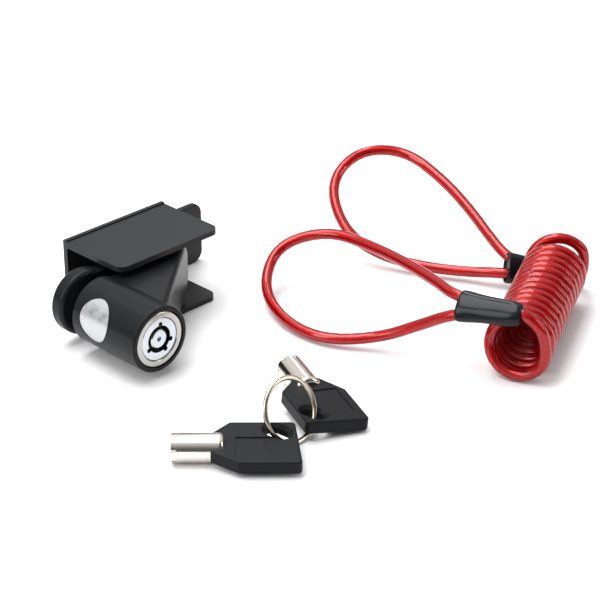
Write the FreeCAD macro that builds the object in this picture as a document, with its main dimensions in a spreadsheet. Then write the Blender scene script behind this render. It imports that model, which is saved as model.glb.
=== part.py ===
import FreeCAD, Part

import math
import os

import Sketcher

Vector = FreeCAD.Vector
Rotation = FreeCAD.Rotation
Placement = FreeCAD.Placement

doc = FreeCAD.newDocument("DiscLockKit")
sheet = doc.addObject("Spreadsheet::Sheet", "Sizes")

# Driving dimensions in millimetres, angles in degrees.
sizes = {
    # carrying bracket, a C channel lying with its open side to the front
    "bracket_length": 46.0,
    "bracket_depth": 31.0,
    "bracket_height": 29.0,
    "bracket_wall": 2.0,
    "bracket_corner": 3.5,
    "base_depth": 29.0,
    "tab_length": 18.0,
    "tab_height": 24.0,
    "tab_corner": 4.5,
    "rib_depth": 1.6,
    "rib_height": 0.5,
    # lock body
    "lock_x": -29.5,
    "lock_front": -42.3,
    "lock_axis": 14.5,
    "barrel_radius": 11.8,
    "barrel_length": 31.5,
    "slot_width": 6.0,
    "slot_bottom": 24.0,
    "jaw_thickness": 6.0,
    "bridge_start": 4.0,
    "bridge_side": 7.0,
    "bridge_reach": 44.8,
    "bridge_end": 35.5,
    "bridge_height": 20.4,
    "bridge_corner": 7.5,
    "bridge_round": 2.4,
    "bore_radius": 10.15,
    "bore_depth": 27.5,
    "pin_bore_radius": 2.85,
    "pin_bore_depth": 41.5,
    "rim_round": 0.7,
    "jaw_round": 1.6,
    # latch pocket in the body, as long as the travel of the cylinder
    "pocket_width": 3.6,
    "pocket_depth": 1.1,
    "pocket_start": 8.4,
    "pocket_length": 11.9,
    # oval label on the side of the barrel
    "label_depth": 21.0,
    "label_turn": 17.0,
    "label_half_length": 7.0,
    "label_half_height": 7.4,
    "label_recess": 0.45,
    "label_thickness": 0.3,
    "label_margin": 0.15,
    # sliding cylinder
    "cylinder_recess": 0.3,
    "cylinder_length": 22.7,
    "sleeve_radius": 9.9,
    "sleeve_bore": 7.75,
    "plate_seat_radius": 8.9,
    "plate_thickness": 2.0,
    "housing_inset": 0.6,
    "housing_length": 20.1,
    "keyway_radius": 4.85,
    "keyway_depth": 8.0,
    "rotor_radius": 6.4,
    "rotor_gap": 0.08,
    "notch_width": 1.7,
    "notch_height": 0.9,
    # rotating spindle with its ring of pins
    "post_radius": 3.4,
    "rotor_length": 4.4,
    "shaft_radius": 2.4,
    "shaft_length": 7.1,
    "dimple_radius": 0.9,
    "dimple_depth": 1.0,
    "pin_circle": 4.12,
    "pin_radius": 0.62,
    "pin_proud": 0.9,
    "driver_length": 5.0,
    "driver_pin_length": 2.0,
    "spring_wire": 0.11,
    "spring_turns": 6.0,
    "cam_radius": 4.0,
    "cam_throw": 1.2,
    "cam_thickness": 1.7,
    "bolt_width": 3.0,
    "bolt_thickness": 1.7,
    "bolt_gap": 0.3,
    "bolt_proud": 0.85,
    # locking pin and its return spring
    "lock_pin_radius": 2.7,
    "lock_pin_tip": 40.5,
    "return_wire": 0.55,
    "return_coil": 7.2,
    "return_turns": 2.5,
    # cable and the fittings on it
    "cable_radius": 2.0,
    "coil_radius": 11.75,
    "coil_length": 61.0,
    "coil_x": 55.7,
    "coil_y": -126.1,
    "coil_turn": 26.6,
    "boot_mouth_width": 11.6,
    "boot_mouth_height": 6.8,
    "boot_waist_width": 9.4,
    "boot_waist_height": 6.2,
    "boot_tip_radius": 3.1,
    "boot_tip_round": 1.2,
    "ferrule_start": 8.0,
    "ferrule_length": 11.0,
    "ferrule_wall": 0.55,
    # keys and ring
    "key_barrel_radius": 4.7,
    "key_barrel_bore": 3.6,
    "key_bore_depth": 9.0,
    "key_barrel_length": 16.6,
    "key_barrel_round": 1.6,
    "key_neck": 12.4,
    "key_head_length": 28.7,
    "key_head_width": 21.2,
    "key_head_thickness": 4.6,
    "key_hole_width": 4.9,
    "key_hole_flare": 1.2,
    "key_hole_length": 8.4,
    "key_panel_depth": 0.35,
    "key_tang_length": 6.0,
    "key_tang_width": 6.0,
    "key_tang_thickness": 1.6,
    "key_tooth": 0.9,
    "key_b_rise": 0.42,
    "ring_radius": 10.4,
    "ring_wire": 0.85,
    "ring_lean": 24.0,
}
for row, (alias, value) in enumerate(sizes.items(), start=1):
    sheet.set("A%d" % row, alias)
    sheet.set("B%d" % row, str(value))
    sheet.setAlias("B%d" % row, alias)
doc.recompute()


def size(alias):
    """Value of one cell of the sheet, in millimetres or degrees."""
    return float(getattr(sheet, alias))


def bind(item, **expressions):
    """Drive properties of an object by expressions over the sheet."""
    for name, expression in expressions.items():
        item.setExpression(name.replace("__", "."), expression)


def cell(expression):
    """Turn bare aliases in an expression into references to the sheet."""
    words = []
    word = ""
    for letter in expression + " ":
        if letter.isalnum() or letter in "_.":
            word += letter
            continue
        if word in sizes:
            word = "Sizes." + word
        words.append(word + letter)
        word = ""
    return "".join(words).strip()


# Helpers.
def new_body(label, placement=None):
    body = doc.addObject("PartDesign::Body", label)
    body.Label = label
    if placement is not None:
        body.Placement = placement
    return body


def origin_plane(body, role):
    return [item for item in body.Origin.OriginFeatures if item.Role == role][0]


def new_sketch(body, role, height=None):
    """Empty sketch on one of the body's own planes, raised by an expression."""
    sketch = body.newObject("Sketcher::SketchObject", body.Label + "_sketch")
    sketch.AttachmentSupport = [(origin_plane(body, role), "")]
    sketch.MapMode = "FlatFace"
    if height is not None:
        sketch.setExpression(".AttachmentOffset.Base.z", cell(height))
    return sketch


def dimension(sketch, kind, places, expression):
    """One dimension of a sketch, bound to an expression over the sheet."""
    index = sketch.addConstraint(Sketcher.Constraint(kind, *places, 1.0))
    sketch.setExpression("Constraints[%d]" % index, cell(expression))


def place_point(sketch, curve, point, across, along):
    """Hold a point at given distances from the sketch's origin."""
    for kind, axis, expression in (("DistanceX", -2, across), ("DistanceY", -1, along)):
        if expression == "0":
            sketch.addConstraint(Sketcher.Constraint("PointOnObject", curve, point, axis))
        else:
            dimension(sketch, kind, (-1, 1, curve, point), expression)


def draw_circle(sketch, radius, across="0", along="0"):
    curve = sketch.addGeometry(Part.Circle(Vector(0, 0, 0), Vector(0, 0, 1), 1.0))
    dimension(sketch, "Radius", (curve,), radius)
    place_point(sketch, curve, 3, across, along)


def draw_outline(sketch, corners):
    """Closed outline of straight edges through corners given as expressions."""
    count = len(corners)
    first = sketch.GeometryCount
    values = [[evaluate(part) for part in corner] for corner in corners]
    for index in range(count):
        start = Vector(*values[index], 0)
        finish = Vector(*values[(index + 1) % count], 0)
        sketch.addGeometry(Part.LineSegment(start, finish))
    for index in range(count):
        following = first + (index + 1) % count
        sketch.addConstraint(Sketcher.Constraint("Coincident", first + index, 2, following, 1))
    for index, (across, along) in enumerate(corners):
        place_point(sketch, first + index, 1, across, along)


def evaluate(expression):
    """Value of an expression over the sheet's aliases."""
    probe = doc.getObject("Probe") or doc.addObject("App::FeaturePython", "Probe")
    if not hasattr(probe, "Value"):
        probe.addProperty("App::PropertyFloat", "Value")
    return float(probe.evalExpression(cell(expression)))


def extrude(body, sketch, kind, length, midplane=False, backwards=False):
    """Pad or Pocket of a sketch, with the change of volume checked."""
    before = body.Shape.Volume if body.Tip else 0.0
    feature = body.newObject("PartDesign::" + kind, body.Label + "_" + kind.lower())
    feature.Profile = sketch
    feature.setExpression("Length", cell(length))
    feature.Midplane = midplane
    feature.Reversed = backwards
    sketch.Visibility = False
    body.Tip = feature
    doc.recompute()
    change = body.Shape.Volume - before
    if (kind == "Pad") != (change > 0) or abs(change) < 1e-3:
        raise RuntimeError("%s of %s changes nothing" % (kind, body.Label))
    return feature


def pad_circle(body, radius, start, length, across="0", along="0"):
    sketch = new_sketch(body, "XY_Plane", start)
    draw_circle(sketch, radius, across, along)
    return extrude(body, sketch, "Pad", length)


def pocket_circle(body, radius, start, length, across="0", along="0"):
    sketch = new_sketch(body, "XY_Plane", start)
    draw_circle(sketch, radius, across, along)
    return extrude(body, sketch, "Pocket", length, backwards=True)


def find_edges(shape, test):
    """Names of the edges that pass a test."""
    return ["Edge%d" % (index + 1) for index, edge in enumerate(shape.Edges) if test(edge)]


def dress(body, kind, edges, amount):
    """Fillet or Chamfer on named edges of the body's last feature."""
    base = body.Tip
    feature = body.newObject("PartDesign::" + kind, body.Label + "_" + kind.lower())
    feature.Base = (base, edges)
    target = "Radius" if kind == "Fillet" else "Size"
    feature.setExpression(target, cell(amount))
    body.Tip = feature
    doc.recompute()
    if not edges or "Invalid" in feature.State or feature.Shape.isNull():
        raise RuntimeError("%s of %s failed on %s" % (kind, body.Label, edges))
    return feature


def is_circle(edge, radius, height):
    """True for a circular edge of a radius at a height along the local Z axis."""
    curve = edge.Curve
    if not isinstance(curve, Part.Circle):
        return False
    return abs(curve.Radius - radius) < 1e-3 and abs(curve.Center.z - height) < 1e-3


def is_straight_along(edge, direction):
    if not isinstance(edge.Curve, Part.Line):
        return False
    run = edge.valueAt(edge.LastParameter) - edge.valueAt(edge.FirstParameter)
    return abs(abs(run.normalize().dot(direction)) - 1) < 1e-6


parts = []


def keep(item):
    """Count an object among the parts that are written out."""
    parts.append(item)
    return item


def feature_of(label, shape, placement=None):
    """Part::Feature with a shape built in code, then placed."""
    item = doc.addObject("Part::Feature", label)
    item.Label = label
    item.Shape = shape
    if placement is not None:
        item.Placement = placement
    return item


# Turned pieces of the lock are drawn about their local Z, which points into
# the barrel from its rim; local Y points down.
lock_place = Placement(
    Vector(size("lock_x"), size("lock_front"), size("lock_axis")),
    Rotation(Vector(1, 0, 0), -90),
)


# Bracket.
def make_bracket():
    body = new_body("bracket")
    profile = new_sketch(body, "YZ_Plane", "-bracket_length / 2")
    draw_outline(profile, [
        ("-bracket_depth / 2", "bracket_height"),
        ("bracket_depth / 2", "bracket_height"),
        ("bracket_depth / 2", "0"),
        ("bracket_depth / 2 - base_depth", "0"),
        ("bracket_depth / 2 - base_depth", "bracket_wall"),
        ("bracket_depth / 2 - bracket_wall", "bracket_wall"),
        ("bracket_depth / 2 - bracket_wall", "bracket_height - bracket_wall"),
        ("-bracket_depth / 2", "bracket_height - bracket_wall"),
    ])
    extrude(body, profile, "Pad", "bracket_length")

    tab = new_sketch(body, "XZ_Plane", "-bracket_depth / 2")
    draw_outline(tab, [
        ("bracket_length / 2 - bracket_wall", "0"),
        ("bracket_length / 2 + tab_length", "0"),
        ("bracket_length / 2 + tab_length", "tab_height"),
        ("bracket_length / 2 - bracket_wall", "tab_height"),
    ])
    extrude(body, tab, "Pad", "bracket_wall")

    rib = new_sketch(body, "XY_Plane", "bracket_height")
    draw_outline(rib, [
        ("-bracket_length / 2", "bracket_depth / 2 - rib_depth"),
        ("bracket_length / 2", "bracket_depth / 2 - rib_depth"),
        ("bracket_length / 2", "bracket_depth / 2"),
        ("-bracket_length / 2", "bracket_depth / 2"),
    ])
    extrude(body, rib, "Pad", "rib_height")

    tab_end = size("bracket_length") / 2 + size("tab_length")
    tab_corners = find_edges(body.Tip.Shape, lambda edge: (
        is_straight_along(edge, Vector(0, 1, 0))
        and abs(edge.CenterOfMass.x - tab_end) < 0.01))
    dress(body, "Fillet", tab_corners, "tab_corner")

    front = size("bracket_depth") / 2
    open_corners = find_edges(body.Tip.Shape, lambda edge: (
        is_straight_along(edge, Vector(0, 0, 1))
        and edge.CenterOfMass.y < size("base_depth") - 3 * front / 2))
    dress(body, "Fillet", open_corners, "bracket_corner")

    inside = front - size("bracket_wall")
    inner_corners = find_edges(body.Tip.Shape, lambda edge: (
        is_straight_along(edge, Vector(1, 0, 0))
        and abs(edge.CenterOfMass.y - inside) < 0.01
        and size("bracket_wall") - 0.01 < edge.CenterOfMass.z
        and edge.CenterOfMass.z < size("bracket_height") - size("bracket_wall") + 0.01))
    dress(body, "Fillet", inner_corners, "bracket_wall / 2")
    return keep(body)


# Lock body.
def label_prism(grow):
    """Oval prism through the side of the barrel, along the label's own normal."""
    ellipse = Part.Ellipse(
        Vector(0, 0, 0), size("label_half_height") + grow, size("label_half_length") + grow)
    face = Part.Face(Part.Wire([ellipse.toShape()]))
    prism = face.extrude(Vector(0, 0, 2 * size("barrel_radius")))
    # its long axis runs round the barrel, its short one along it
    turn = math.radians(size("label_turn"))
    outwards = Vector(-math.cos(turn), -math.sin(turn), 0)
    around = Vector(0, 0, 1).cross(outwards)
    prism.Placement = Placement(
        Vector(0, 0, size("label_depth")),
        Rotation(around, outwards.cross(around), outwards, "ZXY"),
    )
    return prism


def barrel_shell(inner, outer):
    start = size("label_depth") - 2 * size("label_half_length")
    length = 4 * size("label_half_length")
    base = Vector(0, 0, start)
    return Part.makeCylinder(outer, length, base).cut(Part.makeCylinder(inner, length, base))


def join(label, kind, **links):
    """Boolean of earlier objects."""
    item = doc.addObject("Part::" + kind, label)
    item.Label = label
    for name, value in links.items():
        setattr(item, name, value)
    doc.recompute()
    return item


def make_lock_body():
    jaw_start = "barrel_length + slot_width"
    jaw_end = jaw_start + " + jaw_thickness"

    bridge = new_body("lock_bridge", lock_place)
    plan = new_sketch(bridge, "XZ_Plane")
    draw_outline(plan, [
        ("0", "bridge_start"),
        ("bridge_side", "bridge_start"),
        ("bridge_reach", "bridge_end"),
        ("bridge_reach", jaw_end),
        ("0", jaw_end),
    ])
    extrude(bridge, plan, "Pad", "bridge_height", midplane=True)
    far_x = size("bridge_reach")
    far_corners = find_edges(bridge.Tip.Shape, lambda edge: (
        is_straight_along(edge, Vector(0, 0, 1)) and abs(edge.CenterOfMass.x - far_x) < 0.01))
    dress(bridge, "Fillet", far_corners, "bridge_corner")
    level = size("bridge_height") / 2
    long_edges = find_edges(bridge.Tip.Shape, lambda edge: (
        abs(abs(edge.CenterOfMass.y) - level) < 0.01
        and edge.CenterOfMass.x > size("bridge_side")
        and not is_straight_along(edge, Vector(0, 0, 1))))
    dress(bridge, "Fillet", long_edges, "bridge_round")

    barrel = new_body("lock_barrel", lock_place)
    pad_circle(barrel, "barrel_radius", None, "barrel_length")
    rim = find_edges(barrel.Tip.Shape, lambda edge: is_circle(edge, size("barrel_radius"), 0))
    dress(barrel, "Fillet", rim, "rim_round")

    jaw = new_body("lock_jaw", lock_place)
    pad_circle(jaw, "barrel_radius", jaw_start, "jaw_thickness")
    jaw_rims = find_edges(jaw.Tip.Shape, lambda edge: isinstance(edge.Curve, Part.Circle))
    dress(jaw, "Fillet", jaw_rims, "jaw_round")

    slot = new_body("disc_slot", lock_place)
    opening = new_sketch(slot, "XZ_Plane")
    draw_outline(opening, [
        ("-2 * barrel_radius", "barrel_length"),
        ("slot_bottom", "barrel_length"),
        ("slot_bottom", jaw_start),
        ("-2 * barrel_radius", jaw_start),
    ])
    extrude(slot, opening, "Pad", "3 * barrel_radius", midplane=True)

    bores = new_body("lock_bores", lock_place)
    pad_circle(bores, "bore_radius", "-bore_depth", "2 * bore_depth")
    pad_circle(bores, "pin_bore_radius", None, "pin_bore_depth")
    latch_pocket = new_sketch(bores, "XZ_Plane", "-bore_radius - pocket_depth")
    draw_outline(latch_pocket, [
        ("-pocket_width / 2", "pocket_start"),
        ("pocket_width / 2", "pocket_start"),
        ("pocket_width / 2", "pocket_start + pocket_length"),
        ("-pocket_width / 2", "pocket_start + pocket_length"),
    ])
    extrude(bores, latch_pocket, "Pad", "bore_radius")

    outer = size("barrel_radius")
    recess = feature_of("label_recess", label_prism(size("label_margin")).common(
        barrel_shell(outer - size("label_recess"), outer + 1)), lock_place)
    blank = join("lock_blank", "MultiFuse", Shapes=[bridge, barrel, jaw])
    hollows = join("lock_hollows", "MultiFuse", Shapes=[slot, bores, recess])
    keep(join("lock_body", "Cut", Base=blank, Tool=hollows))

    floor = outer - size("label_recess")
    keep(feature_of("label_plate", label_prism(0).common(
        barrel_shell(floor, floor + size("label_thickness"))), lock_place))


# Sliding cylinder.
def make_cylinder():
    back = "cylinder_recess + cylinder_length"
    seat = back + " - plate_thickness"

    sleeve = new_body("cylinder_sleeve", lock_place)
    pad_circle(sleeve, "sleeve_radius", "cylinder_recess", "cylinder_length")
    pocket_circle(sleeve, "sleeve_bore", None, "bore_depth")
    pocket_circle(sleeve, "plate_seat_radius", seat, "bore_depth")
    outer = size("sleeve_radius")
    lip = find_edges(sleeve.Tip.Shape, lambda edge: (
        is_circle(edge, outer, size("cylinder_recess"))
        or is_circle(edge, size("sleeve_bore"), size("cylinder_recess"))))
    dress(sleeve, "Fillet", lip, "rim_round / 2")

    housing = new_body("cylinder_housing", lock_place)
    pad_circle(housing, "sleeve_bore", "housing_inset", "housing_length")
    pocket_circle(housing, "keyway_radius", None, "bore_depth")
    pocket_circle(housing, "rotor_radius", "housing_inset + keyway_depth", "bore_depth")
    # four key notches in the keyway's outer wall
    for turn in (0, 100, 142, 232):
        notch = new_sketch(housing, "XY_Plane")
        reach = "(keyway_radius + notch_height / 2)"
        draw_circle(notch, "notch_width / 2",
                    "%s * sin(%d deg)" % (reach, turn + 8), "-%s * cos(%d deg)" % (reach, turn + 8))
        extrude(housing, notch, "Pocket", "housing_inset + keyway_depth + 0.5", backwards=True)
    face_edge = find_edges(housing.Tip.Shape, lambda edge: (
        is_circle(edge, size("sleeve_bore"), size("housing_inset"))))
    dress(housing, "Chamfer", face_edge, "rim_round / 2")

    plate = new_body("end_plate", lock_place)
    pad_circle(plate, "plate_seat_radius", seat, "plate_thickness")
    pocket_circle(plate, "lock_pin_radius", None, "bore_depth")

    pin = new_body("locking_pin", lock_place)
    pad_circle(pin, "lock_pin_radius", seat, "lock_pin_tip - (%s)" % seat)
    tip = find_edges(pin.Tip.Shape, lambda edge: (
        is_circle(edge, size("lock_pin_radius"), size("lock_pin_tip"))))
    dress(pin, "Chamfer", tip, "rim_round")

    # latch slot through sleeve and housing, under the cam
    for part in (sleeve, housing):
        slot = new_sketch(part, "XZ_Plane", "-barrel_radius")
        side = "(bolt_width / 2 + 2 * rotor_gap)"
        draw_outline(slot, [
            ("-" + side, "bolt_start - rotor_gap"),
            (side, "bolt_start - rotor_gap"),
            (side, "bolt_start + bolt_thickness + rotor_gap"),
            ("-" + side, "bolt_start + bolt_thickness + rotor_gap"),
        ])
        extrude(part, slot, "Pocket", "barrel_radius - cam_radius", backwards=True)
    for part in (sleeve, housing, plate, pin):
        keep(part)


def make_return_spring():
    """Compression spring round the locking pin, behind the end plate."""
    start = size("cylinder_recess") + size("cylinder_length") + size("return_wire") + 0.05
    end = size("bore_depth") - size("return_wire") - 0.05
    spring = coil_of_wire(size("return_coil"), size("return_wire"), end - start, size("return_turns"))
    seat = lock_place.multiply(Placement(Vector(0, 0, start), Rotation()))
    keep(feature_of("return_spring", spring, seat))


def coil_of_wire(radius, wire, height, turns):
    """Round wire wound about the local Z axis from height zero."""
    helix = Part.makeLongHelix(height / turns, height, radius)
    start = helix.Edges[0].valueAt(helix.Edges[0].FirstParameter)
    tangent = helix.Edges[0].tangentAt(helix.Edges[0].FirstParameter)
    section = Part.Wire([Part.Circle(start, tangent, wire).toShape()])
    return Part.Wire(helix.Edges).makePipeShell([section], True, True)


# Spindle and its pins.
def make_spindle():
    front = "housing_inset"
    rotor = "housing_inset + keyway_depth + rotor_gap"
    spindle = new_body("spindle", lock_place)
    pad_circle(spindle, "post_radius", front, "keyway_depth + rotor_gap + 1")
    pad_circle(spindle, "rotor_radius - rotor_gap", rotor, "rotor_length")
    pad_circle(spindle, "shaft_radius", rotor + " + rotor_length", "shaft_length")
    pocket_circle(spindle, "dimple_radius", None, "housing_inset + dimple_depth")
    edge = find_edges(spindle.Tip.Shape, lambda item: (
        is_circle(item, size("post_radius"), size("housing_inset"))))
    dress(spindle, "Chamfer", edge, "rim_round / 2")
    # seven holes for the key pins, drilled once and patterned round the axis
    sketch = new_sketch(spindle, "XY_Plane", rotor)
    draw_circle(sketch, "pin_radius", "0", "-pin_circle")
    hole = extrude(spindle, sketch, "Pocket", "rotor_length", backwards=True)
    ring = spindle.newObject("PartDesign::PolarPattern", "spindle_holes")
    ring.Originals = [hole]
    axes = [item for item in spindle.Origin.OriginFeatures if item.Role == "Z_Axis"]
    ring.Axis = (axes[0], [""])
    ring.Angle = 360
    ring.Occurrences = pin_count
    spindle.Tip = ring
    doc.recompute()
    keep(spindle)

    driver = new_body("driver_block", lock_place)
    start = rotor + " + rotor_length + rotor_gap"
    pad_circle(driver, "rotor_radius", start, "driver_length")
    pocket_circle(driver, "shaft_radius + rotor_gap", None, "bore_depth")
    sketch = new_sketch(driver, "XY_Plane", start)
    draw_circle(sketch, "pin_radius", "0", "-pin_circle")
    hole = extrude(driver, sketch, "Pocket", "driver_length - 4 * spring_wire", backwards=True)
    ring = driver.newObject("PartDesign::PolarPattern", "driver_holes")
    ring.Originals = [hole]
    axes = [item for item in driver.Origin.OriginFeatures if item.Role == "Z_Axis"]
    ring.Axis = (axes[0], [""])
    ring.Angle = 360
    ring.Occurrences = pin_count
    driver.Tip = ring
    doc.recompute()
    keep(driver)

    cam = new_body("cam_plate", lock_place)
    pad_circle(cam, "cam_radius", "bolt_start", "cam_thickness", "0", "cam_throw")
    pocket_circle(cam, "shaft_radius", None, "bore_depth")
    keep(cam)

    bolt = new_body("latch_bolt", lock_place)
    top = "(cam_radius + cam_throw + bolt_gap)"
    sketch = new_sketch(bolt, "XZ_Plane", "-(sleeve_radius + bolt_proud)")
    draw_outline(sketch, [
        ("-bolt_width / 2", "bolt_start"),
        ("bolt_width / 2", "bolt_start"),
        ("bolt_width / 2", "bolt_start + bolt_thickness"),
        ("-bolt_width / 2", "bolt_start + bolt_thickness"),
    ])
    extrude(bolt, sketch, "Pad", "sleeve_radius + bolt_proud - " + top)
    keep(bolt)


def make_pins():
    """Key pins in the spindle, driver pins and their springs behind them."""
    gap = size("rotor_gap")
    rotor = size("housing_inset") + size("keyway_depth") + gap
    shear = rotor + size("rotor_length")
    driver = shear + gap
    pin_radius = size("pin_radius") - 0.02
    spring_start = driver + size("driver_pin_length")
    spring_end = driver + size("driver_length") - 4 * size("spring_wire")
    wire = size("spring_wire")
    for index in range(pin_count):
        turn = Rotation(Vector(0, 0, 1), 360 / pin_count * index)
        centre = turn.multVec(Vector(0, -size("pin_circle"), 0))

        key_pin = doc.addObject("Part::Cylinder", "key_pin_%d" % (index + 1))
        bind(key_pin, Radius="Sizes.pin_radius - 0.02", Height="Sizes.rotor_length + Sizes.pin_proud")
        key_pin.Placement = lock_place * Placement(
            centre + Vector(0, 0, rotor - size("pin_proud")), Rotation())
        keep(key_pin)

        driver_pin = doc.addObject("Part::Cylinder", "driver_pin_%d" % (index + 1))
        bind(driver_pin, Radius="Sizes.pin_radius - 0.02", Height="Sizes.driver_pin_length")
        driver_pin.Placement = lock_place * Placement(centre + Vector(0, 0, driver), Rotation())
        keep(driver_pin)

        height = spring_end - spring_start - 2 * wire - 0.04
        spring = coil_of_wire(pin_radius - wire - 0.02, wire, height, size("spring_turns"))
        seat = Placement(centre + Vector(0, 0, spring_start + wire + 0.02), Rotation())
        keep(feature_of("pin_spring_%d" % (index + 1), spring, lock_place.multiply(seat)))


# Cable.
# Each loop's route starts where the cable leaves the coil, runs through the
# boot at its tip, round the loop and back into the boot's ferrule.
front_boot_tip = Vector(53.0, -129.1, 25.0)
front_boot_mouth = Vector(47.0, -107.0, 22.8)
front_strands = (Vector(48.5, -102.0, 25.0), Vector(43.5, -106.5, 20.5))
front_coil_route = [(60.0, -133.2, 18.5), (59.0, -136.5, 22.0), (55.0, -135.0, 25.0)]
front_loop_route = [
    (53.0, -91.5, 24.0),
    (58.5, -73.5, 22.5),
    (63.0, -53.5, 20.5),
    (62.0, -32.0, 20.5),
    (49.0, -18.0, 14.5),
    (33.0, -26.5, 6.0),
    (24.0, -45.5, 3.0),
    (24.0, -65.5, 2.5),
    (36.0, -81.5, 5.0),
    (41.5, -95.5, 13.5),
]
back_boot_tip = Vector(119.5, -93.5, 4.4)
back_boot_mouth = Vector(102.5, -82.0, 8.5)
back_strands = (Vector(105.5, -79.0, 11.5), Vector(101.5, -79.5, 6.0))
back_coil_route = [(114.8, -107.4, 11.5), (120.2, -105.6, 6.8), (123.2, -99.0, 3.0)]
back_loop_route = [
    (109.0, -69.5, 13.5),
    (114.0, -54.5, 19.0),
    (118.0, -37.5, 24.5),
    (118.5, -17.5, 30.5),
    (105.0, -5.5, 31.0),
    (88.0, -6.5, 23.0),
    (78.5, -23.0, 12.0),
    (82.5, -37.5, 5.0),
    (90.0, -55.5, 3.5),
    (98.0, -70.0, 4.0),
]


def boot_frame(mouth, tip, strands):
    """Placement of a boot: local Z from mouth to tip, local X from the returning
    strand to the leaving strand."""
    along = (tip - mouth).normalize()
    across = strands[0] - strands[1]
    across = (across - along * across.dot(along)).normalize()
    return Placement(mouth, Rotation(across, along.cross(across), along, "ZXY"))


def cable_route(frame, mouth, tip, strands, coil_route, loop_route):
    """Points of one loop from the coil to the dead end inside the ferrule."""
    side = size("cable_radius") + 0.02
    ferrule_front = size("ferrule_start")
    ferrule_back = ferrule_front + size("ferrule_length")
    length = (tip - mouth).Length
    leaving = [(0.2 * side, length + 1), (side, ferrule_back - 1), (1.2 * side, ferrule_front - 3)]
    returning = [(-1.2 * side, ferrule_front - 3), (-side, ferrule_back - 1)]
    points = [Vector(*point) for point in coil_route]
    points += [frame.multVec(Vector(across, 0, along)) for across, along in leaving]
    points += [Vector(strands[0])]
    points += [Vector(*point) for point in loop_route]
    points += [Vector(strands[1])]
    points += [frame.multVec(Vector(across, 0, along)) for across, along in returning]
    return points


def bent_path(points):
    """Straight runs joined by tangent arcs, each as large as its runs allow."""
    edges = []
    radii = []
    start = points[0]
    for before, corner, after in zip(points, points[1:], points[2:]):
        inward = (before - corner).normalize()
        outward = (after - corner).normalize()
        half_turn = (math.pi - inward.getAngle(outward)) / 2
        shorter = min((before - corner).Length, (after - corner).Length)
        reach = 0.45 * shorter
        radius = reach / math.tan(half_turn)
        first = corner + inward * reach
        last = corner + outward * reach
        bisector = (inward + outward).normalize()
        middle = corner + bisector * (radius / math.cos(half_turn) - radius)
        edges.append(Part.LineSegment(start, first).toShape())
        edges.append(Part.Arc(first, middle, last).toShape())
        radii.append(radius)
        start = last
    edges.append(Part.LineSegment(start, points[-1]).toShape())
    return Part.Wire(edges), radii


def tube_along(points, radius):
    path, radii = bent_path(points)
    section = Part.Wire([Part.Circle(points[0], points[1] - points[0], radius).toShape()])
    tube = path.makePipeShell([section], True, False)
    expected = math.pi * radius ** 2 * path.Length
    if abs(tube.Volume / expected - 1) > 0.01:
        raise RuntimeError("tube volume %.0f is not %.0f" % (tube.Volume, expected))
    return tube, path.Length, radii


def oval(width, height, level):
    """Wire of two half circles joined by straight runs, at a level along Z."""
    radius = height / 2
    offset = width / 2 - radius
    if offset < 0.05:
        return Part.Wire([Part.Circle(Vector(0, 0, level), Vector(0, 0, 1), radius).toShape()])
    right = Vector(offset, 0, level)
    left = Vector(-offset, 0, level)
    up = Vector(0, radius, 0)
    side = Vector(radius, 0, 0)
    edges = [
        Part.Arc(right - up, right + side, right + up).toShape(),
        Part.LineSegment(right + up, left + up).toShape(),
        Part.Arc(left + up, left - side, left - up).toShape(),
        Part.LineSegment(left - up, right - up).toShape(),
    ]
    return Part.Wire(edges)


def boot_shape(length):
    """Moulded cover, oval at its mouth, waisted, and nearly round at its tip."""
    tip = 2 * size("boot_tip_radius")
    waist = size("boot_waist_width")
    sections = [
        oval(size("boot_mouth_width"), size("boot_mouth_height"), 0),
        oval(waist + 0.5, size("boot_waist_height"), 0.4 * length),
        oval(waist - 0.4, size("boot_waist_height") + 0.2, 0.75 * length),
        oval(tip + 1.4, tip, length),
    ]
    return Part.makeLoft(sections, True, False)


def make_cable_end(name, mouth, tip, strands, coil_route, loop_route):
    frame = boot_frame(mouth, tip, strands)
    points = cable_route(frame, mouth, tip, strands, coil_route, loop_route)
    tube, length, radii = tube_along(points, size("cable_radius"))
    print("%s loop: %.1f mm, radii %s" % (name, length, ["%.1f" % value for value in radii]))
    loop = feature_of("cable_%s_loop" % name, tube)

    wall = size("ferrule_wall")
    body = Part.Face(oval(4 * size("cable_radius") + 2 * wall, 2 * (size("cable_radius") + wall),
                          size("ferrule_start")))
    ferrule = body.extrude(Vector(0, 0, size("ferrule_length")))
    blank = feature_of("%s_ferrule_blank" % name, ferrule, frame)
    crimped = doc.addObject("Part::Cut", "%s_ferrule" % name)
    crimped.Label = "%s_ferrule" % name
    crimped.Base = blank
    crimped.Tool = loop

    cover = feature_of("%s_boot_blank" % name, boot_shape((tip - mouth).Length), frame)
    hollow = doc.addObject("Part::Cut", "%s_boot_hollow" % name)
    hollow.Base = cover
    hollow.Tool = blank
    boot = doc.addObject("Part::Cut", "%s_boot" % name)
    boot.Label = "%s_boot" % name
    boot.Base = hollow
    boot.Tool = loop
    doc.recompute()
    for part in (loop, crimped, boot):
        keep(part)


def make_coil():
    coil = doc.addObject("Part::Cylinder", "cable_coil")
    bind(coil, Radius="Sizes.coil_radius", Height="Sizes.coil_length")
    turn = math.radians(size("coil_turn"))
    along = Vector(math.cos(turn), math.sin(turn), 0)
    coil.Placement = Placement(
        Vector(size("coil_x"), size("coil_y"), size("coil_radius")),
        Rotation(Vector(0, 0, 1), along),
    )
    keep(coil)


# Keys.
# A key is drawn with its barrel along local X, mouth at the origin, and the
# ring hole in the corner of the head at positive Y.
def key_place(mouth, heading, roll, pitch=0.0):
    turn = Rotation(Vector(0, 0, 1), heading)
    tilt = Rotation(Vector(0, 1, 0), pitch)
    return Placement(mouth, turn * tilt * Rotation(Vector(1, 0, 0), roll))


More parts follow.
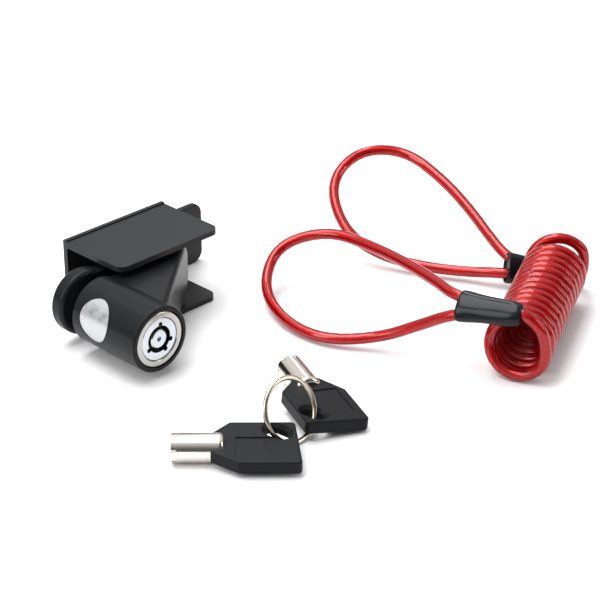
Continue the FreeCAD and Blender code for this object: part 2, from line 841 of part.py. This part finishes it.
def key_hole_centre():
    return Vector(
        size("key_neck") + size("key_head_length") - 8.0,
        size("key_head_width") / 2 - 4.8,
        0,
    )


def flared_slot(level):
    """Slot through the head, widening towards both faces at plus and minus level."""
    length = size("key_hole_length")
    width = size("key_hole_width")
    flare = size("key_hole_flare")
    slot = Part.Face(oval(length, width, -level)).extrude(Vector(0, 0, 2 * level))
    for side in (-1, 1):
        sections = [
            oval(length, width, side * (level - flare)),
            oval(length + 2 * flare, width + 2 * flare, side * (level + 0.01)),
        ]
        slot = slot.fuse(Part.makeLoft(sections, True, True))
    return slot


def make_key(name, place):
    stand = Placement(Vector(0, 0, 0), Rotation(Vector(0, 1, 0), 90))
    barrel = new_body("key_%s_barrel" % name, place * stand)
    pad_circle(barrel, "key_barrel_radius", None, "key_barrel_length")
    pocket_circle(barrel, "key_barrel_bore", None, "key_bore_depth")
    root = find_edges(barrel.Tip.Shape, lambda edge: (
        is_circle(edge, size("key_barrel_radius"), size("key_barrel_length"))))
    dress(barrel, "Fillet", root, "key_barrel_round")
    # flat tang that the head is moulded over
    tang = new_sketch(barrel, "XZ_Plane")
    draw_outline(tang, [
        ("-key_tang_thickness / 2", "key_barrel_length - key_barrel_round"),
        ("key_tang_thickness / 2", "key_barrel_length - key_barrel_round"),
        ("key_tang_thickness / 2", "key_barrel_length + key_tang_length"),
        ("-key_tang_thickness / 2", "key_barrel_length + key_tang_length"),
    ])
    extrude(barrel, tang, "Pad", "key_tang_width", midplane=True)
    # seven bitting cuts round the mouth
    cut = new_sketch(barrel, "XY_Plane")
    draw_circle(cut, "key_tooth / 2", "0", "key_barrel_radius")
    first = extrude(barrel, cut, "Pocket", "2 * key_tooth", backwards=True)
    ring = barrel.newObject("PartDesign::PolarPattern", "key_%s_bitting" % name)
    ring.Originals = [first]
    axes = [item for item in barrel.Origin.OriginFeatures if item.Role == "Z_Axis"]
    ring.Axis = (axes[0], [""])
    ring.Angle = 360
    ring.Occurrences = pin_count
    barrel.Tip = ring
    doc.recompute()
    keep(barrel)

    blank = new_body("key_%s_head_blank" % name, place)
    neck = "key_neck"
    end = "key_neck + key_head_length"
    half = "key_head_width / 2"
    plan = new_sketch(blank, "XY_Plane", "-key_head_thickness / 2")
    draw_outline(plan, [
        (neck, "key_barrel_radius + 0.3"),
        (neck + " + 5.5", half),
        (end + " - 2.5", half),
        (end, "-" + half),
        (neck + " + 8.9", "-" + half),
        (neck, "-key_barrel_radius - 0.3"),
    ])
    extrude(blank, plan, "Pad", "key_head_thickness")
    upright = find_edges(blank.Tip.Shape, lambda edge: (
        is_straight_along(edge, Vector(0, 0, 1)) and edge.CenterOfMass.x > size("key_neck") + 1))
    dress(blank, "Fillet", upright, "key_barrel_round")
    level = size("key_head_thickness") / 2
    outline = find_edges(blank.Tip.Shape, lambda edge: (
        abs(abs(edge.CenterOfMass.z) - level) < 0.01
        and edge.CenterOfMass.x > size("key_neck") + 1))
    dress(blank, "Fillet", outline, "rim_round")
    # slanting slot for the ring
    hole = key_hole_centre()
    slope = Rotation(Vector(0, 0, 1), -34)
    slot = flared_slot(level)
    slot.Placement = Placement(hole, slope)
    # shallow panel on both faces
    panel_length = size("key_head_length") - 14
    panel_width = size("key_head_width") - 11
    panel_depth = size("key_panel_depth")
    corner = Vector(size("key_neck") + 7.5, -panel_width / 2 - 2.6, 0)
    panels = [
        Part.makeBox(panel_length, panel_width, 1, corner + Vector(0, 0, level - panel_depth)),
        Part.makeBox(panel_length, panel_width, 1, corner + Vector(0, 0, -level - 1 + panel_depth)),
    ]
    tools = feature_of("key_%s_cuts" % name, slot.fuse(panels), place)
    opened = doc.addObject("Part::Cut", "key_%s_opened" % name)
    opened.Base = blank
    opened.Tool = tools
    head = doc.addObject("Part::Cut", "key_%s_head" % name)
    head.Label = "key_%s_head" % name
    head.Base = opened
    head.Tool = barrel
    doc.recompute()
    keep(head)
    return place.multVec(hole)


pin_count = 7
sheet.set("D1", "bolt_start")
sheet.set("E1", "=housing_inset + keyway_depth + 3 * rotor_gap + rotor_length + driver_length")
sheet.setAlias("E1", "bolt_start")
sizes["bolt_start"] = None
doc.recompute()

make_bracket()
make_lock_body()
make_cylinder()
make_return_spring()
make_spindle()
make_pins()
make_coil()
make_cable_end("front", front_boot_mouth, front_boot_tip, front_strands,
               front_coil_route, front_loop_route)
make_cable_end("back", back_boot_mouth, back_boot_tip, back_strands,
               back_coil_route, back_loop_route)

key_a_mouth = Vector(-62.2, -83.7, size("key_barrel_radius"))
key_b_mouth = Vector(-0.5, -74.2, size("key_barrel_radius") + size("key_b_rise"))
hole_a = make_key("a", key_place(key_a_mouth, -45.0, 6))
hole_b = make_key("b", key_place(key_b_mouth, -112.3, 174.5, 1.5))

# The ring leans back a little and passes through both holes.
between = Vector(hole_b.x - hole_a.x, hole_b.y - hole_a.y, 0)
print("ring holes %s %s, %.1f mm apart" % (hole_a, hole_b, between.Length))
lean = math.radians(size("ring_lean"))
back = Vector(0, 0, 1).cross(between).normalize()
rise = Vector(0, 0, 1) * math.cos(lean) + back * math.sin(lean)
ring_height = size("ring_radius") * math.cos(lean) + size("ring_wire")
middle = (hole_a + hole_b) * 0.5
centre = middle + back * math.tan(lean) * (ring_height - middle.z)
ring = doc.addObject("Part::Torus", "key_ring")
bind(ring, Radius1="Sizes.ring_radius", Radius2="Sizes.ring_wire")
ring.Placement = Placement(
    Vector(centre.x, centre.y, ring_height),
    Rotation(Vector(0, 0, 1), between.cross(rise)),
)
print("ring centre %s" % ring.Placement.Base)
keep(ring)
doc.recompute()

# Write.
for item in doc.Objects:
    if "Invalid" in item.State or "Error" in item.State:
        raise RuntimeError("%s is %s" % (item.Label, item.State))
os.makedirs("parts", exist_ok=True)
for item in parts:
    if item.Shape.isNull() or not item.Shape.isValid():
        raise RuntimeError("%s has no valid shape" % item.Label)
    if item.Shape.BoundBox.ZMin < 0.3:
        print("%s reaches down to %.2f mm" % (item.Label, item.Shape.BoundBox.ZMin))
    if len(item.Shape.Solids) != 1:
        raise RuntimeError("%s has %d solids" % (item.Label, len(item.Shape.Solids)))
    item.Shape.exportStep("parts/%s.step" % item.Label)
print("%d parts" % len(parts))
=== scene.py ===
import math

import bmesh
import bpy
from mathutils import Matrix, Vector


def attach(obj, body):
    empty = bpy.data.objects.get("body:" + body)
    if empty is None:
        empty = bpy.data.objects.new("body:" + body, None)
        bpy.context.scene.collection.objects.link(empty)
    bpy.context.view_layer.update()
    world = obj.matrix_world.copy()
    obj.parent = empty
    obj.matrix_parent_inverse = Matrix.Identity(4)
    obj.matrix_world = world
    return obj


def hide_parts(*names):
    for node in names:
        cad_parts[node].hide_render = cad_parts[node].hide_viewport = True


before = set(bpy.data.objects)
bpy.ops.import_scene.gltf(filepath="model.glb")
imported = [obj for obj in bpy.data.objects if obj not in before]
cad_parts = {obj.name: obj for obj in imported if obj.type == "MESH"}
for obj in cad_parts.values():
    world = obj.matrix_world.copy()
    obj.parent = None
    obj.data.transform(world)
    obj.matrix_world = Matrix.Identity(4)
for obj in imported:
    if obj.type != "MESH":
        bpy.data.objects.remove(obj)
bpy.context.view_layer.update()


class Wire:  # a socket that can be added, multiplied and so on
    def __init__(self, board, socket):
        self.board = board
        self.socket = socket

    def maths(self, operation, other, swapped=False):
        first, second = (other, self) if swapped else (self, other)
        return self.board.node(
            "ShaderNodeMath", {"operation": operation}, {0: first, 1: second})

    def __add__(self, other):
        return self.maths("ADD", other)

    def __radd__(self, other):
        return self.maths("ADD", other, True)

    def __sub__(self, other):
        return self.maths("SUBTRACT", other)

    def __rsub__(self, other):
        return self.maths("SUBTRACT", other, True)

    def __mul__(self, other):
        return self.maths("MULTIPLY", other)

    def __rmul__(self, other):
        return self.maths("MULTIPLY", other, True)

    def __gt__(self, other):
        return self.maths("GREATER_THAN", other)


class Board:  # the nodes of a material or of the world
    def __init__(self, owner, shader, output):
        self.owner = owner
        owner.use_nodes = True
        self.tree = owner.node_tree
        self.tree.nodes.clear()
        self.shader = self.tree.nodes.new(shader)
        surface = self.tree.nodes.new(output).inputs["Surface"]
        self.tree.links.new(self.shader.outputs[0], surface)
        coordinates = self.tree.nodes.new("ShaderNodeTexCoord")
        self.place = Wire(self, coordinates.outputs["Object"])
        self.outlook = Wire(self, coordinates.outputs["Generated"])

    def feed(self, target, value):
        if isinstance(value, Wire):
            self.tree.links.new(value.socket, target)
        elif hasattr(target.default_value, "__len__"):
            missing = len(target.default_value) - len(value)
            target.default_value = list(value) + [1.0] * missing
        else:
            target.default_value = value

    def node(self, kind, settings, sockets, result=0):
        made = self.tree.nodes.new(kind)
        for name, value in settings.items():
            if name == "stops":
                stops = made.color_ramp.elements
                while len(stops) < len(value):
                    stops.new(0.5)
                for stop, (position, colour) in zip(stops, value):
                    stop.position = position
                    stop.color = (*colour, 1.0)
            else:
                setattr(made, name, value)
        for name, value in sockets.items():
            self.feed(made.inputs[name], value)
        return Wire(self, made.outputs[result])

    def noise(self, scale, detail=3.0, roughness=0.5, where=None):
        return self.node("ShaderNodeTexNoise", {}, {
            "Vector": where or self.place, "Scale": scale,
            "Detail": detail, "Roughness": roughness})

    def stretched(self, scale, turn=(0, 0, 0)):
        return self.node("ShaderNodeMapping", {}, {
            "Vector": self.place, "Scale": scale, "Rotation": turn})

    def fade(self, value, low, high):  # 0 at low and 1 at high
        return self.node("ShaderNodeMapRange", {}, {
            "Value": value, "From Min": low, "From Max": high})

    def blend(self, factor, first, second):
        settings = {"data_type": "RGBA"}
        return self.node("ShaderNodeMix", settings, {0: factor, 6: first, 7: second}, 2)

    def bump(self, height, strength, distance):
        sockets = {"Height": height, "Strength": strength, "Distance": distance}
        return self.node("ShaderNodeBump", {}, sockets)

    def part(self, where, axis):  # one number of a position
        return self.node("ShaderNodeSeparateXYZ", {}, {0: where}, axis)

    def finish(self, **sockets):
        for name, value in sockets.items():
            self.feed(self.shader.inputs[name.replace("_", " ")], value)
        return self.owner


def materialBoard(name):
    material = bpy.data.materials.new(name)
    return Board(material, "ShaderNodeBsdfPrincipled", "ShaderNodeOutputMaterial")


def linkObject(name, data):
    item = bpy.data.objects.new(name, data)
    bpy.context.scene.collection.objects.link(item)
    return item


def aimAt(item, place, target):
    item.location = place
    sight = Vector(target) - Vector(place)
    item.rotation_euler = sight.to_track_quat("-Z", "Y").to_euler()


camera = {
    # metres, and millimetres for the lens
    "place": (-0.4110, -0.4870, 0.3334),
    "target": (0.0433, -0.0354, 0.0),
    "lens": 120.0,
    "sensor": 36.0,
    "nearest": 0.01,
}
cameraData = bpy.data.cameras.new("camera")
cameraData.lens = camera["lens"]
cameraData.sensor_width = camera["sensor"]
cameraData.clip_start = camera["nearest"]
cameraObject = linkObject("camera", cameraData)
aimAt(cameraObject, camera["place"], camera["target"])
bpy.context.scene.camera = cameraObject

bumpDepth = {"deep": 0.0002, "shallow": 0.0001}


def scaled(colour, factor):
    return [part * factor for part in colour]


def mouldedPlastic(name, colour, roughness, grain, gloss):
    board = materialBoard(name)
    fine = board.noise(2600.0, 2.0, 0.6)
    broad = board.noise(60.0, 4.0, 0.55)
    return board.finish(
        Base_Color=board.blend(broad, scaled(colour, 0.8), scaled(colour, 1.25)),
        Roughness=roughness - 0.06 + broad * 0.14,
        Normal=board.bump(fine * 0.7 + broad * 0.3, grain, bumpDepth["deep"]),
        Specular_IOR_Level=gloss,
    )


def lacqueredCasting(name, values):
    board = materialBoard(name)
    peel = board.noise(420.0, 2.0, 0.45)  # orange peel of the lacquer
    broad = board.noise(45.0, 5.0, 0.6)
    specks = board.noise(1500.0, 2.0, 0.7) > 0.72
    colour = values["colour"]
    shade = board.blend(broad, scaled(colour, 0.75), scaled(colour, 1.3))
    return board.finish(
        Base_Color=board.blend(specks * 0.25, shade, values["speck"]),
        Roughness=0.26 + broad * 0.14,
        Normal=board.bump(peel, 0.12, bumpDepth["deep"]),
        Specular_IOR_Level=values["gloss"],
        Coat_Weight=values["coat"],
        Coat_Roughness=0.14,
    )


def platedMetal(name, colour, roughness, scratch=(40.0, 900.0, 900.0), turn=(0, 0, 0)):
    board = materialBoard(name)
    lines = board.noise(1.0, 3.0, 0.6, board.stretched(scratch, turn))
    cloud = board.noise(110.0, 4.0, 0.6)
    return board.finish(
        Base_Color=board.blend(cloud, scaled(colour, 0.88), colour),
        Metallic=1.0,
        Roughness=roughness - 0.03 + cloud * 0.05 + lines * 0.05,
        Normal=board.bump(lines, 0.06, bumpDepth["shallow"]),
    )


def clearJacket(name, values):
    board = materialBoard(name)
    cloud = board.noise(35.0, 3.0, 0.5)
    return board.finish(
        Base_Color=board.blend(cloud, values["dark"], values["light"]),
        Roughness=0.04 + cloud * 0.04,
        Transmission_Weight=values["clearness"],
        IOR=1.45,
        Specular_IOR_Level=0.5,
    )


def printedFoil(name, values):
    # satin foil, mottled where its print has been left blank
    board = materialBoard(name)
    brushed = board.noise(1.0, 3.0, 0.6, board.stretched(values["brush"]))
    height = board.part(board.place, "Z")
    foot, top, edge = values["bandFoot"], values["bandTop"], values["bandEdge"]
    rise = board.fade(height, foot, foot + edge)
    fall = board.fade(height, top, top - edge)
    mottle = board.fade(board.noise(values["mottle"], 3.0, 0.6), 0.45, 0.62)
    shade = board.blend(brushed, values["dull"], values["bright"])
    return board.finish(
        Base_Color=board.blend(rise * fall * mottle * values["print"], shade, values["tint"]),
        Metallic=0.75,
        Roughness=0.30 + brushed * 0.12,
        Normal=board.bump(brushed, 0.12, bumpDepth["shallow"]),
    )


def strandSteel(name, values):
    board = materialBoard(name)
    grain = board.noise(900.0, 2.0, 0.5)
    return board.finish(
        Base_Color=board.blend(grain, values["strandDark"], values["strandLight"]),
        Metallic=0.7,
        Roughness=0.30 + grain * 0.1,
    )


label = {
    "bright": (0.60, 0.61, 0.615),
    "dull": (0.44, 0.45, 0.46),
    "tint": (0.16, 0.22, 0.20),
    "bandFoot": 0.0175,
    "bandTop": 0.0228,
    "bandEdge": 0.0016,
    "print": 0.55,  # how strongly the tinted band shows
    "brush": (900.0, 60.0, 900.0),
    "mottle": 330.0,
}
lacquer = {
    "colour": (0.009, 0.0095, 0.0105),
    "speck": (0.11, 0.11, 0.115),
    "gloss": 0.11,
    "coat": 0.06,
}
jacket = {
    "dark": (0.72, 0.006, 0.008),
    "light": (0.82, 0.010, 0.011),
    "clearness": 0.84,
    "strandDark": (0.34, 0.12, 0.11),
    "strandLight": (0.74, 0.52, 0.50),
}
black = {
    # colour, roughness, grain, gloss
    "bracketPlastic": ((0.0145, 0.0155, 0.017), 0.42, 0.16, 0.22),
    "keyPlastic": ((0.009, 0.0095, 0.0108), 0.46, 0.2, 0.12),
    "bootPlastic": ((0.005, 0.0065, 0.0085), 0.17, 0.05, 0.21),
}
metal = {
    # colour, roughness, and the scratches' scale and turn where they differ
    "bezelChrome": ((0.43, 0.42, 0.40), 0.10),
    "faceNickel": ((0.56, 0.59, 0.62), 0.17),
    "keyNickel": ((0.78, 0.735, 0.66), 0.13, (60.0, 1200.0, 1200.0), (0, 0, -0.785)),
    "pinBrass": ((0.62, 0.33, 0.17), 0.3),
    "workSteel": ((0.55, 0.55, 0.56), 0.32),
    "springSteel": ((0.42, 0.42, 0.43), 0.35),
    "ringWire": ((0.62, 0.55, 0.44), 0.2),
    "crimpAluminium": ((0.72, 0.72, 0.73), 0.34),
}
finishes = {name: mouldedPlastic(name, *values) for name, values in black.items()}
finishes["lockLacquer"] = lacqueredCasting("lockLacquer", lacquer)
finishes.update({name: platedMetal(name, *values) for name, values in metal.items()})
finishes["labelFoil"] = printedFoil("labelFoil", label)
finishes["jacket"] = clearJacket("jacket", jacket)
finishes["strands"] = strandSteel("strands", jacket)
print("materials made")

nodeFinishes = {
    "bracket": "bracketPlastic",
    "lock_body": "lockLacquer",
    "label_plate": "labelFoil",
    "return_spring": "springSteel",
    "cylinder_sleeve": "bezelChrome",
    "cylinder_housing": "faceNickel",
    "end_plate": "workSteel",
    "locking_pin": "workSteel",
    "driver_block": "pinBrass",
    "spindle": "faceNickel",
    "cam_plate": "workSteel",
    "latch_bolt": "workSteel",
    "front_boot": "bootPlastic",
    "back_boot": "bootPlastic",
    "front_ferrule": "crimpAluminium",
    "back_ferrule": "crimpAluminium",
    "key_ring": "ringWire",
    "key_a_barrel": "keyNickel",
    "key_b_barrel": "keyNickel",
    "key_a_head": "keyPlastic",
    "key_b_head": "keyPlastic",
}


def finishOf(node):
    if node.startswith(("key_pin_", "driver_pin_")):
        return "pinBrass"
    if node.startswith("pin_spring_"):
        return "springSteel"
    return nodeFinishes.get(node)


for node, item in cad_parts.items():
    finish = finishOf(node)
    if finish:
        item.data.materials.clear()
        item.data.materials.append(finishes[finish])


cable = {
    # metres, degrees and turns
    "radius": 0.0020,
    "wireRadius": 0.00975,  # centre of the turns to the cable's centre
    "coilStart": (0.0557, -0.1261, 0.01175),
    "coilHeading": 26.6,
    "firstRun": -0.0010,
    "coilRun": 0.0610,
    "turns": 14.042,
    "firstAngle": 75.0,  # from straight up, towards the far side
    "pointsPerTurn": 14,
    "wobble": [(0.00022, 2.3, 0.0), (0.00016, 5.1, 1.0)],  # reach, rate and phase
    "splay": 0.0050,  # how far the foot of the first turn leans out
    "splayFade": 1.1,
    "lean": 0.0040,  # how far the top of the last turn leans back
    "leanFade": 0.8,
    "fan": 0.0036,  # how far the last turn runs out towards its boot
    "fanFade": 0.35,
    "flare": 0.0005,  # how much wider the end turns are
    "strandRadius": 0.00135,
    "strandLobes": 7,
    "strandLobe": 0.00022,
    "strandLay": 0.0105,  # length of one twist of the strands
    "strandStep": 0.0011,
    "smoothness": 5,
}

# the loops' routes from the coil outwards, ending inside the crimps
frontRoute = [
    (0.0568, -0.1354, 0.0187), (0.0551, -0.1329, 0.0227), (0.0536, -0.1300, 0.0251),
    (0.0534, -0.1275, 0.0256), (0.0532, -0.1238, 0.0258), (0.0501, -0.1112, 0.0248),
    (0.0485, -0.1020, 0.0250), (0.0530, -0.0915, 0.0240), (0.0585, -0.0735, 0.0225),
    (0.0630, -0.0535, 0.0205), (0.0620, -0.0320, 0.0205), (0.0490, -0.0180, 0.0145),
    (0.0330, -0.0265, 0.0060), (0.0240, -0.0455, 0.0030), (0.0240, -0.0655, 0.0025),
    (0.0360, -0.0815, 0.0050), (0.0415, -0.0955, 0.0135), (0.0435, -0.1065, 0.0205),
    (0.0465, -0.1124, 0.0218), (0.0502, -0.1248, 0.0233),
]
backRoute = [
    (0.1204, -0.1030, 0.0052), (0.1205, -0.0974, 0.0026), (0.1203, -0.0940, 0.0045),
    (0.1179, -0.0914, 0.0068), (0.1075, -0.0842, 0.0097), (0.1055, -0.0790, 0.0115),
    (0.1090, -0.0695, 0.0135), (0.1140, -0.0545, 0.0190), (0.1180, -0.0375, 0.0245),
    (0.1185, -0.0175, 0.0305), (0.1050, -0.0055, 0.0310), (0.0880, -0.0065, 0.0230),
    (0.0785, -0.0230, 0.0120), (0.0825, -0.0375, 0.0050), (0.0900, -0.0555, 0.0035),
    (0.0980, -0.0700, 0.0040), (0.1015, -0.0795, 0.0060), (0.1057, -0.0853, 0.0053),
    (0.1164, -0.0924, 0.0032),
]


def coilPoints(values):
    heading = math.radians(values["coilHeading"])
    along = Vector((math.cos(heading), math.sin(heading), 0))
    side = Vector((math.sin(heading), -math.cos(heading), 0))
    up = Vector((0, 0, 1))
    turns = values["turns"]
    count = int(turns * values["pointsPerTurn"])
    # the control points stand a little outside the turns they draw
    outside = math.cos(math.pi / values["pointsPerTurn"]) ** 0.5
    points = []
    for index in range(1, count):
        turn = turns * index / count
        angle = math.radians(values["firstAngle"]) + 2 * math.pi * turn
        splay = math.exp(-turn / values["splayFade"])
        lean = math.exp((turn - turns) / values["leanFade"])
        fan = math.exp((turn - turns) / values["fanFade"])
        run = values["firstRun"] + values["coilRun"] * turn / turns
        for reach, rate, phase in values["wobble"]:
            run += reach * math.sin(rate * turn + phase)
        run -= values["splay"] * splay * (1 - math.cos(angle)) / 2
        run += values["lean"] * lean * (1 + math.cos(angle)) / 2
        run += values["fan"] * fan
        flare = values["flare"] * (splay + lean)
        spoke = up * math.cos(angle) + side * math.sin(angle)
        centre = Vector(values["coilStart"]) + up * flare + along * run
        points.append(centre + spoke * (values["wireRadius"] + flare) / outside)
    return points


def smoothLine(name, points):
    data = bpy.data.curves.new(name, "CURVE")
    data.dimensions = "3D"
    spline = data.splines.new("NURBS")
    spline.points.add(len(points) - 1)
    for knot, point in zip(spline.points, points):
        knot.co = (*point, 1.0)
    spline.order_u = 3
    spline.use_endpoint_u = True
    spline.resolution_u = data.resolution_u = cable["smoothness"]
    return linkObject(name, data)


def readLine(item):  # the points of a curve that has no bevel
    mesh = bpy.data.meshes.new_from_object(item)
    places = [vertex.co.copy() for vertex in mesh.vertices]
    bpy.data.meshes.remove(mesh)
    return places


cablePoints = [Vector(place) for place in reversed(frontRoute)]
cablePoints += coilPoints(cable)
cablePoints += [Vector(place) for place in backRoute]
cableLine = smoothLine("reminderCable", cablePoints)
linePlaces = readLine(cableLine)


def closedSkin(name, rings):
    # the rings are bridged in order, and the first and last are filled
    board = bmesh.new()
    edges = []
    for ring in rings:
        made = [board.verts.new(point) for point in ring]
        edges.append([board.edges.new((made[step - 1], made[step])) for step in range(len(made))])
    for first, second in zip(edges, edges[1:]):
        bmesh.ops.bridge_loops(board, edges=first + second)
    for end in (edges[0], edges[-1]):
        bmesh.ops.holes_fill(board, edges=end, sides=0)
    bmesh.ops.recalc_face_normals(board, faces=board.faces)
    for face in board.faces:
        face.smooth = True
    mesh = bpy.data.meshes.new(name)
    board.to_mesh(mesh)
    board.free()
    return linkObject(name, mesh)


def twistedCore(name, places, values):
    # a lobed section swept along the line, turning once every strandLay
    rings = []
    normal = Vector((0, 0, 1))
    travelled = 0.0
    sides = values["strandLobes"] * 3
    for index, place in enumerate(places):
        before = places[max(index - 1, 0)]
        after = places[min(index + 1, len(places) - 1)]
        along = (after - before).normalized()
        normal = (normal - along * normal.dot(along)).normalized()
        across = along.cross(normal)
        travelled += (place - before).length
        twist = 2 * math.pi * travelled / values["strandLay"]
        ring = []
        for step in range(sides):
            angle = 2 * math.pi * step / sides
            lobe = values["strandLobe"] * math.cos(values["strandLobes"] * angle)
            radius = values["strandRadius"] + lobe
            spoke = normal * math.cos(angle + twist) + across * math.sin(angle + twist)
            ring.append(place + spoke * radius)
        rings.append(ring)
    return closedSkin(name, rings)


def evenly(places, step):  # the line's points again, at most one per step
    kept = [places[0]]
    for place in places:
        if (place - kept[-1]).length >= step:
            kept.append(place)
    return kept


boots = {
    # half width, half height, and place along the boot from mouth to tip
    "sections": [
        (0.0046, 0.0024, 0.05), (0.0050, 0.0028, 0.012), (0.0054, 0.0032, 0.0),
        (0.0057, 0.0035, 0.014), (0.0058, 0.0036, 0.06), (0.0056, 0.0035, 0.16),
        (0.0050, 0.0033, 0.34), (0.0047, 0.0033, 0.58), (0.0047, 0.0035, 0.80),
        (0.0044, 0.0034, 0.92), (0.0036, 0.0029, 0.985), (0.0026, 0.0024, 1.0),
    ],
    "sides": 24,
    "squareness": 2.15,  # 2 is an ellipse
    "smoothing": 2,
    # centre of the mouth, centre of the tip, and a direction across the boot
    "frontBoot": ((0.0470, -0.1070, 0.0228), (0.0530, -0.1291, 0.0250), (0.0050, 0.0045, 0.0045)),
    "backBoot": ((0.1025, -0.0820, 0.0085), (0.1195, -0.0935, 0.0044), (0.0040, 0.0005, 0.0055)),
}


def rounded(value, squareness):  # a cosine or sine pushed towards a square
    return math.copysign(abs(value) ** (2 / squareness), value)


def mouldedBoot(name, values):
    mouth, tip, across = [Vector(numbers) for numbers in values[name]]
    along = (tip - mouth).normalized()
    across = (across - along * across.dot(along)).normalized()
    upright = along.cross(across)
    rings = []
    for halfWidth, halfHeight, part in values["sections"]:
        ring = []
        for step in range(values["sides"]):
            angle = 2 * math.pi * step / values["sides"]
            wide = across * rounded(math.cos(angle), values["squareness"]) * halfWidth
            high = upright * rounded(math.sin(angle), values["squareness"]) * halfHeight
            ring.append(mouth.lerp(tip, part) + wide + high)
        rings.append(ring)
    item = closedSkin(name, rings)
    smooth = item.modifiers.new("smooth", "SUBSURF")
    smooth.levels = smooth.render_levels = values["smoothing"]
    item.data.materials.append(finishes["bootPlastic"])
    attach(item, "cable")
    return item


frontBoot = mouldedBoot("frontBoot", boots)
backBoot = mouldedBoot("backBoot", boots)
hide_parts("front_boot")
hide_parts("back_boot")
cableCore = twistedCore("cableStrands", evenly(linePlaces, cable["strandStep"]), cable)
cableCore.data.materials.append(finishes["strands"])
cableLine.data.bevel_depth = cable["radius"]
cableLine.data.bevel_resolution = cable["smoothness"]
cableLine.data.use_fill_caps = True
cableLine.data.materials.append(finishes["jacket"])
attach(cableLine, "cable")
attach(cableCore, "cable")
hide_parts("cable_coil", "cable_front_loop", "cable_back_loop")
print("cable made")

studio = {
    "floorSize": 3.0,
    "floorDark": (0.92, 0.92, 0.925),
    "floorLight": (0.93, 0.93, 0.935),
    # height and brightness
    "sky": [(0.0, 0.10), (0.16, 0.10), (0.34, 0.75), (0.60, 1.0), (1.0, 0.9)],
    "skyBlue": 1.01,
    "room": (0.12, 0.12, 0.125),
    "roomEdge": (-0.62, -0.25),
    "worldStrength": 0.92,
    "lamps": {
        # place, aim, size, watts
        "overheadBox": ((-0.10, 0.20, 0.95), (0.03, -0.05, 0.0), (0.9, 0.6), 10.0),
        "stripBox": ((0.42, 0.35, 0.71), (0.05, -0.08, 0.02), (0.08, 0.5), 1.0),
        "leftBox": ((-0.80, 0.15, 0.45), (0.0, -0.05, 0.02), (0.35, 0.6), 3.0),
        "rightBox": ((0.65, -0.75, 0.40), (0.03, -0.06, 0.02), (0.3, 0.5), 2.0),
    },
}
floorMesh = bpy.data.meshes.new("floor")
floorShape = bmesh.new()
bmesh.ops.create_grid(floorShape, x_segments=1, y_segments=1, size=studio["floorSize"])
floorShape.to_mesh(floorMesh)
floorShape.free()
floor = linkObject("floor", floorMesh)
floorBoard = materialBoard("paperFloor")
floorFine = floorBoard.noise(30.0, 2.0, 0.5)
floor.data.materials.append(floorBoard.finish(
    Base_Color=floorBoard.blend(floorFine, studio["floorDark"], studio["floorLight"]),
    Roughness=0.9,
))

bpy.context.scene.world = bpy.data.worlds.new("studio")
sky = Board(bpy.context.scene.world, "ShaderNodeBackground", "ShaderNodeOutputWorld")
stops = [(height, (level, level, level * studio["skyBlue"])) for height, level in studio["sky"]]
light = sky.node("ShaderNodeValToRGB", {"stops": stops}, {0: sky.part(sky.outlook, "Z")})
# the side behind the viewer is a dark room, which the metal picks up
front = sky.fade(sky.part(sky.outlook, "Y"), *studio["roomEdge"])
sky.finish(Color=sky.blend(front, studio["room"], light), Strength=studio["worldStrength"])

for name, (place, aim, extent, watts) in studio["lamps"].items():
    lampData = bpy.data.lights.new(name, "AREA")
    lampData.shape = "RECTANGLE"
    lampData.size, lampData.size_y = extent
    lampData.energy = watts
    aimAt(linkObject(name, lampData), place, aim)
bpy.context.scene.view_settings.view_transform = "Standard"
print("stage made")
